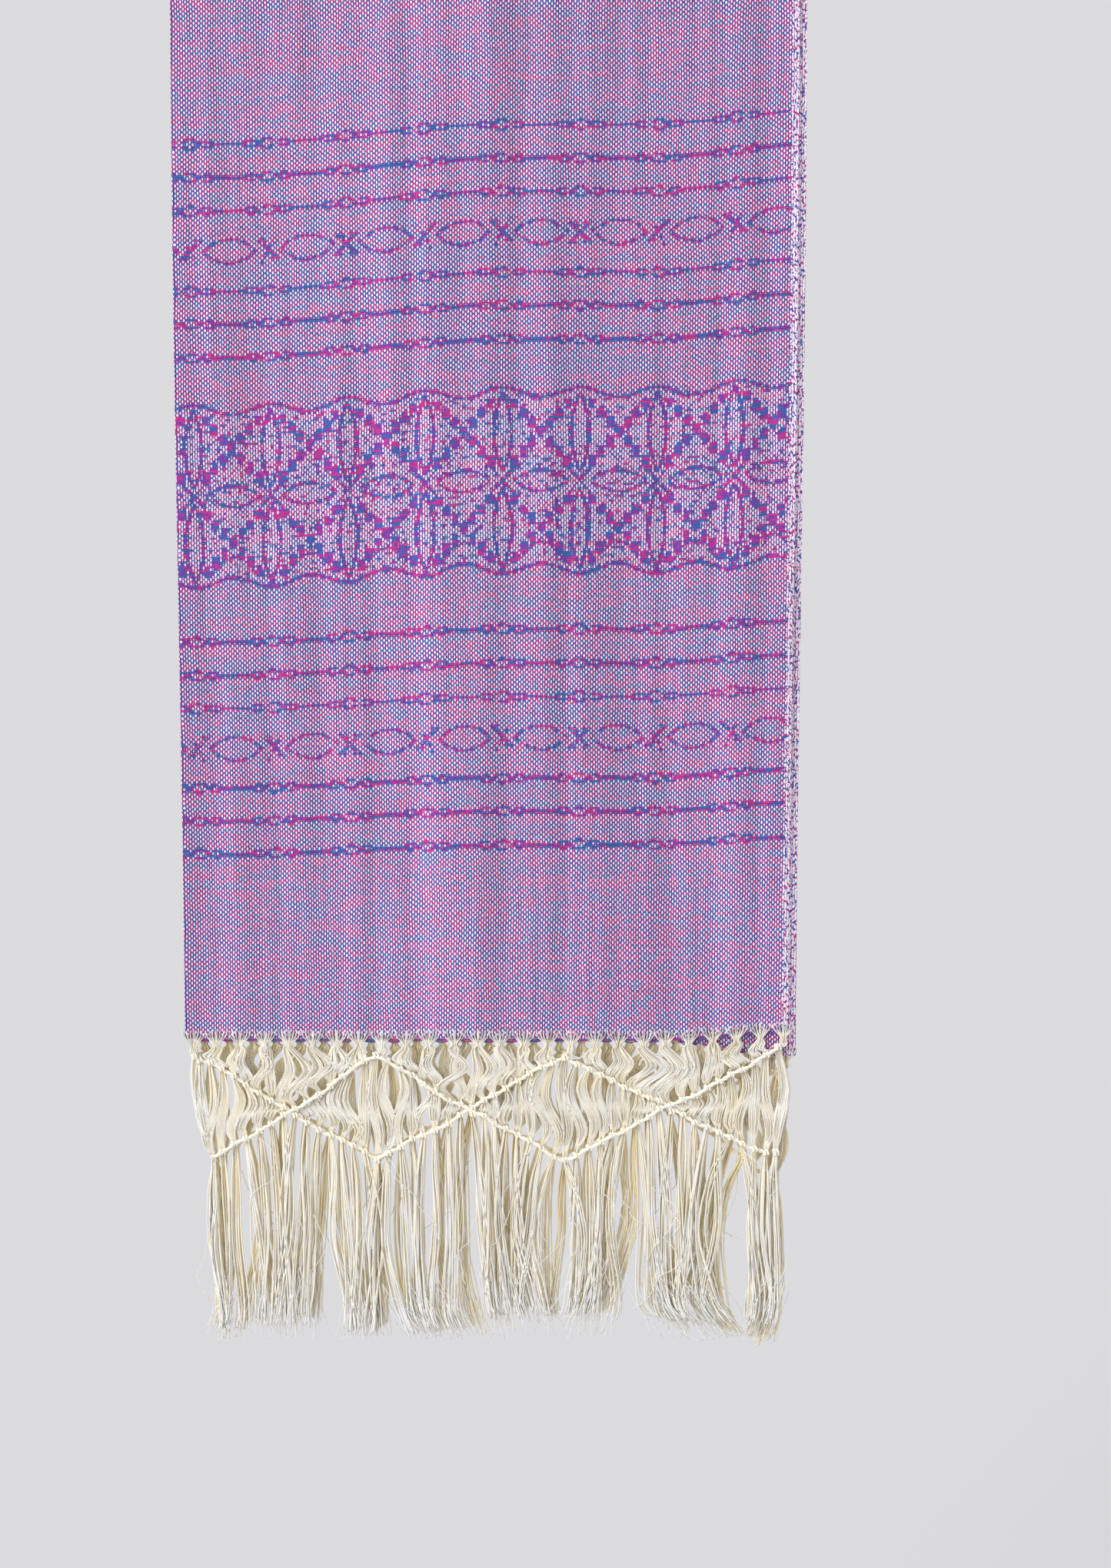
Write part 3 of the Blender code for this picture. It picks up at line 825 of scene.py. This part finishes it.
        control(root + fan, stray[:, 0] * 0.0004 - 0.0052, -0.0002, 0.0)
        control(root + fan * 0.82, np.full(count, -0.0014), 0.0008, 0.0)
        control(root + fan * 0.24, np.full(count, 0.0034), 0.0015 + deep * 0.0009, 0.30)
        control(root + half * 0.0022 * room + rank * 0.0016, np.full(count, 0.0066),
                0.0017 + deep * 0.0011, 0.28)
        control(root + half * 0.0031 * room + swing + rank * wide * room,
                gathered + slack * 0.34,
                0.0014 + billow + deep * 0.0009 + stray[:, 1] * 0.0003, 0.06)
        control((root + knot) / 2.0 + half * 0.0014 * room - swing * 0.50 + rank * wide * room,
                gathered + slack * 0.74, 0.0014 + billow - deep * 0.0008, 0.10)
        control(knot + rank * tight, first - 0.0004, 0.0010 + deep * 0.0008, 0.42)
        inwards = low_knot - knot
        control(knot + inwards * 0.3 + sway + left_bow + right_bow + rank * wide,
                first + drop * 0.33 * lower, 0.0020 + deep * 0.0012, 0.10)
        control(knot + inwards * 0.7 - sway * 0.7 + left_bow + right_bow * 0.2 + rank * wide,
                first + drop * (0.52 + 0.20 * lower), 0.0020 - deep * 0.0012, 0.08)
        control(low_knot + rank * tight, second, 0.0010 + deep * 0.0008, 0.36)
        # Below the net each bundle turns into a loose rope, whose end spreads like a brush
        line = low_knot + data["lean"]
        tip, sweep = data["tip"], data["sweep"]
        middles = (low_knot + data["lean"] * 0.6, line, line * 0.3 + tip * 0.7,
                   tip + sweep * 0.25, tip + sweep)
        # Each tail's tone is painted shade just below the net and lighter towards the tips, and
        # painted shade darkens the back of each rope
        for number, (at, middle) in enumerate(zip(TAIL, middles)):
            angle = turn + spin * at["turns"]
            loose = at["loose"]
            aside = stray[:, 6] * loose + stray[:, number] * loose * 0.3
            control(middle + np.cos(angle) * ROPE_WIDTH * at["wider"] + aside,
                    second + tail * at["part"] + stray[:, 7] * loose * 0.8,
                    0.0026 + np.sin(angle) * ROPE_DEPTH * at["wider"],
                    at["tone"] + 0.24 * np.clip(-np.sin(angle), 0.0, 1.0))
        # Random tone per thread and per bundle, with painted shade on the threads that lie
        # further back
        tone = (0.08 * chance.random(count) + 0.16 * np.clip(-deep, 0.0, 1.0)
                + np.repeat(chance.uniform(0.0, 0.12, count // each), each))
        return np.stack(columns, 1), tone[:, None] + np.stack(painted_shades, 1)

    def wisps(self, controls):
        """Fine fibres that part from the threads near their tips."""
        chance = self.chance
        count = len(controls)
        along = controls[:, -1] - controls[:, -2]
        along /= np.linalg.norm(along, axis=1, keepdims=True)
        start = controls[:, -1] - along * chance.uniform(0.016, 0.036, (count, 1))
        points = [start]
        turn = chance.normal(0.0, 0.07, (count, 1))
        for step in range(5):
            turn = turn * 0.6 + chance.normal(0.0, 0.11, (count, 1))
            aside = np.concatenate([turn, chance.normal(0.0, 0.06, (count, 1)), 0.0 * turn], 1)
            points.append(points[-1] + (along + aside) * chance.uniform(0.005, 0.008, (count, 1)))
        controls = np.stack(points, 1)
        lowest = self.place(0.2, self.fringe.length + 0.006, 0.0)[2]
        controls[..., 2] = np.maximum(controls[..., 2], lowest)
        return smooth_through(controls, 2)

    def strays(self):
        """A few long loose threads that wander across the tails."""
        chance = self.chance
        count = 20
        across = chance.uniform(0.02, 0.36, count)
        below = chance.uniform(0.06, 0.12, count)
        slope = chance.normal(0.0, 0.5, count)
        points = []
        for step in range(7):
            points.append(self.place(across, below, 0.0045 + chance.normal(0.0, 0.0012, count)))
            slope = slope * 0.6 + chance.normal(0.0, 0.45, count)
            across = np.clip(across + slope * 0.010, 0.004, 0.376)
            below = np.minimum(below + chance.uniform(0.004, 0.014, count), 0.176)
        return smooth_through(np.stack(points, 1), 3)

    def add_threads(self, material):
        controls, painted_shades = self.thread_controls(self.bundle)
        paths = smooth_through(controls, 4 if self.side == "front" else 3)
        length = paths.shape[1]
        place = np.linspace(0.0, controls.shape[1] - 1.0, length)
        slim = np.interp(place, (0.2, 1.5, 9.0, 10.5, 13.2, 14.0),
                         (0.70, 1.00, 1.02, 1.14, 1.06, 0.80))
        radius = self.fringe.thread_radius * slim[None, :, None]
        radius = radius * self.chance.uniform(0.85, 1.15, (len(paths), 1, 1))
        # Painted shade: the under layer's fringe, which hangs behind the upper one, is darker and
        # warmer, and so are its wisps and strays
        deep = 0.34 if self.layer == "under" else 0.0
        tones_and_painted_shade = np.stack([np.interp(place, np.arange(len(row)), row) for row in painted_shades]) + deep
        parts = [(*tubes(paths, radius, 3), np.repeat(tones_and_painted_shade[:, :, None], 3, 2))]
        for fine, size in ((self.wisps(controls[::2]), WISP_RADIUS),
                           (self.strays(), STRAY_RADIUS)):
            points, faces = tubes(fine, size, 3)
            parts.append((points, faces, np.full(points.shape[:3], deep * 0.6)))
        return joined(f"fringe_of_{self.side}_{self.layer}", parts, material)

    def add_cords(self, material):
        """The two twisted cords of the net, with a hitch of thread at each bundle."""
        parts = []
        sides, point_spacing, twist_pitch = 10, 0.00109, 0.0050
        for kind in ("falling", "rising"):
            across = [corner[kind] for corner in NET_CORNERS]
            run = np.linspace(across[0], across[-1], 400)
            depth = zigzag_depth(kind, run)
            depth = np.convolve(np.pad(depth, 4, mode="edge"), np.ones(9) / 9.0, "valid")
            depth = depth + self.wander(run)
            over = 0.0010 if kind == "rising" else 0.0
            path = self.place(run, depth, 0.0028 + over)[None]
            along = np.arange(len(run)) * point_spacing
            angle = np.arange(sides) * math.tau / sides
            lay = 2.0 * angle[None] - along[:, None] * math.tau / twist_pitch
            twist = 1.0 + 0.26 * np.cos(lay)
            points, faces = tubes(path, self.fringe.cord_radius * twist[None], sides)
            parts.append((points, faces))
        bundle = self.bundle
        hitches = [self.hitch(knot, depth)
                   for knots, line in ((bundle["knot"], bundle["first"]),
                                       (bundle["low_knot"], bundle["second"]))
                   for knot, depth in zip(knots, line + self.wander(knots))]
        loops = np.concatenate(hitches, 0)
        parts.append(tubes(loops, self.fringe.thread_radius * 1.3, 5, closed=True))
        # Painted shade: cords and hitches get a darker tone than the lit cotton, and the under
        # layer's cords, behind the upper ones, darker still
        deep = 0.30 if self.layer == "under" else 0.0
        parts = [(points, faces, np.full(points.shape[:3], 0.32 + deep))
                 for points, faces in parts]
        return joined(f"net_of_{self.side}_{self.layer}", parts, material)

    def wander(self, run):
        """How the net's cords stray from straight lines, up and down."""
        return (0.0012 * np.sin(run * 71.0 + self.phase) + 0.0007 * np.sin(run * 163.0)
                + 0.0004 * np.sin(run * 409.0 + self.phase))

    def hitch(self, knot, depth):
        """Two loops of a half hitch round the cord."""
        angle = np.arange(10) * math.tau / 10.0
        loops = []
        for number in (-1.0, 1.0):
            size = self.chance.uniform(0.00125, 0.00160)
            across = knot + number * 0.0009 + 0.0009 * np.sin(angle + 0.6)
            below = depth + size * np.cos(angle) + self.chance.normal(0.0, 0.0002)
            out = 0.0032 + size * 0.9 * np.sin(angle)
            loops.append(self.place(across, below, out))
        return np.stack(loops, 0)

    def build(self, cotton):
        self.bundle = self.bundles()
        threads = self.add_threads(cotton)
        cords = self.add_cords(cotton)
        nets = [f"net_{self.side}_{self.layer}_{number}" for number in (1, 2)]
        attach(threads, "root")
        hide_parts(f"fringe_{self.side}_{self.layer}")
        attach(cords, "root")
        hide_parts(*nets)


class REBOZO_OT_fringe(bpy.types.Operator):
    """Knot the fringe on both layers of both hems"""
    bl_idname = "rebozo.fringe"
    bl_label = "Knotted fringe"

    def execute(self, context):
        fringe, cloth = context.scene.rebozo_fringe, context.scene.rebozo_cloth
        cotton = cotton_material(fringe, "warp_cotton")
        for side in ("front", "back"):
            for layer in ("upper", "under"):
                FringeMaker(side, layer, fringe, cloth).build(cotton)
        return {"FINISHED"}


class REBOZO_OT_last_picks(bpy.types.Operator):
    """Lay the last picks, which bow down between the roots of the fringe"""
    bl_idname = "rebozo.last_picks"
    bl_label = "Last picks"

    def execute(self, context):
        fringe, cloth = context.scene.rebozo_fringe, context.scene.rebozo_cloth
        part = np.linspace(0.0, 1.0, 9)
        for side in ("front", "back"):
            paths, marks = [], []
            for layer in ("upper", "under"):
                maker = FringeMaker(side, layer, fringe, cloth)
                for number, (here, beyond) in enumerate(zip(maker.roots, maker.roots[1:])):
                    for pick in range(LAST_PICKS):
                        run = here + 0.0012 + (beyond - here - 0.0024) * part
                        sag = (0.0003 + 0.00060 * pick) * maker.chance.uniform(0.5, 1.5)
                        below = sag * 4.0 * part * (1.0 - part) + 0.0002
                        paths.append(maker.place(run, below, 0.0001 * pick))
                        row = np.full_like(run, pick + LAST_PICKS * number)
                        marks.append(np.stack([run, row, np.zeros_like(run)], -1))
            sides = 4
            points, faces = tubes(np.stack(paths), LAST_PICK_RADIUS, sides)
            threads = np.repeat(np.stack(marks)[:, :, None], sides, 2)
            made = mesh_object(f"last_picks_{side}", points, faces, weft_material(cloth),
                               [("threads", "FLOAT_VECTOR", threads)])
            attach(made, "root")
        return {"FINISHED"}


class REBOZO_OT_rod(bpy.types.Operator):
    """Turn the wooden rod that the shawl hangs over"""
    bl_idname = "rebozo.rod"
    bl_label = "Wooden rod"

    def execute(self, context):
        length = ROD_HIGH[0] - ROD_LOW[0]
        middle = (ROD_HIGH[0] + ROD_LOW[0]) / 2.0
        round_over = 0.0016
        turn = np.linspace(0.0, math.pi / 2.0, 6)
        along = round_over * (1.0 - np.cos(turn))
        inset = round_over * (1.0 - np.sin(turn))
        stops = np.linspace(round_over, length / 2.0, 24)[1:]
        half_x = np.concatenate([[0.0], along, stops])
        half_r = np.concatenate([[0.0], ROD_RADIUS - inset, np.full(len(stops), ROD_RADIUS)])
        x = np.concatenate([half_x - length / 2.0, (length / 2.0 - half_x)[::-1][1:]]) + middle
        radius = np.concatenate([half_r, half_r[::-1][1:]])
        # The end faces close on a point that isn't quite one, so no face has no area
        radius = np.maximum(radius, 0.00002)
        path = np.stack([x, np.zeros(len(x)), np.zeros(len(x))], -1)[None]
        sides = 64
        points, faces = tubes(path, radius[None, :, None], sides)
        made = mesh_object("rebozo_rod", points, faces, wood_material(context.scene.rebozo_stage))
        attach(made, "root")
        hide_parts("rod")
        return {"FINISHED"}


class REBOZO_OT_stage(bpy.types.Operator):
    """Set the pale floor, the soft lights and the camera"""
    bl_idname = "rebozo.stage"
    bl_label = "Stage"

    def execute(self, context):
        scene = context.scene
        stage = scene.rebozo_stage
        scene.view_settings.view_transform = "Standard"
        scene.cycles.denoising_prefilter = "NONE"
        to_sun = Vector((-0.70, -0.56, 0.44)).normalized()
        air = np.array(stage.air)
        world = bpy.data.worlds.new("studio")
        world.use_nodes = True
        world.node_tree.nodes["Background"].inputs[0].default_value = (*air, 1.0)
        scene.world = world
        level = CAD_BOUNDS[0][2] - stage.floor_below
        bpy.ops.mesh.primitive_circle_add(vertices=96, radius=40.0, fill_type="NGON",
                                          location=(0.0, 0.0, level))
        floor = context.object
        floor.name = "floor"
        # Lit by the sky and the key light, this floor is just as bright as the surroundings
        grey = air / (air + stage.sun * to_sun.z / math.pi)
        graph = Graph("pale_floor")
        floor.data.materials.append(graph.finish(Base_Color=tuple(grey), Roughness=1.0,
                                                 Specular_IOR_Level=0.0))
        light = bpy.data.lights.new("key", "SUN")
        light.energy = stage.sun
        light.angle = stage.sun_softness
        lamp = bpy.data.objects.new("key", light)
        lamp.rotation_mode = "QUATERNION"
        lamp.rotation_quaternion = to_sun.to_track_quat("Z", "Y")
        scene.collection.objects.link(lamp)
        self.camera(scene)
        return {"FINISHED"}

    @staticmethod
    def camera(scene):
        """Square to the cloth, a little above what it frames and tipped down."""
        hem = -scene.rebozo_cloth.front_drop
        aim = Vector((0.0428, 0.0, hem + 0.157))
        tilt = math.radians(3.4)
        distance = 1.35
        data = bpy.data.cameras.new("camera")
        data.lens = 50.0
        data.sensor_width = 36.0
        eye = bpy.data.objects.new("camera", data)
        eye.location = aim + Vector((0.0, -math.cos(tilt), math.sin(tilt))) * distance
        eye.rotation_euler = (math.pi / 2.0 - tilt, 0.0, 0.0)
        scene.collection.objects.link(eye)
        scene.camera = eye


class REBOZO_PT_panel(bpy.types.Panel):
    """The shawl's settings and its steps"""
    bl_idname = "REBOZO_PT_panel"
    bl_label = "Rebozo shawl"
    bl_space_type = "VIEW_3D"
    bl_region_type = "UI"
    bl_category = "Rebozo"

    def draw(self, context):
        for group in SETTINGS:
            box = self.layout.box()
            settings = getattr(context.scene, group)
            for key in settings.bl_rna.properties.keys():
                if key not in ("rna_type", "name"):
                    box.prop(settings, key)
        for step in STEPS:
            self.layout.operator(step.bl_idname)


SETTINGS = {
    "rebozo_cloth": ClothSettings,
    "rebozo_fringe": FringeSettings,
    "rebozo_stage": StageSettings,
}
STEPS = (REBOZO_OT_rod, REBOZO_OT_fringe, REBOZO_OT_cloth, REBOZO_OT_last_picks, REBOZO_OT_stage)


def register():
    for kind in (*SETTINGS.values(), *STEPS, REBOZO_PT_panel):
        bpy.utils.register_class(kind)
    for name, kind in SETTINGS.items():
        setattr(bpy.types.Scene, name, PointerProperty(type=kind))


def unregister():
    for name in SETTINGS:
        delattr(bpy.types.Scene, name)
    for kind in (REBOZO_PT_panel, *reversed(STEPS), *reversed(SETTINGS.values())):
        bpy.utils.unregister_class(kind)


def main():
    register()
    bpy.ops.rebozo.rod()
    bpy.ops.rebozo.fringe()
    bpy.ops.rebozo.cloth()
    bpy.ops.rebozo.last_picks()
    bpy.ops.rebozo.stage()


if __name__ == "__main__":
    main()
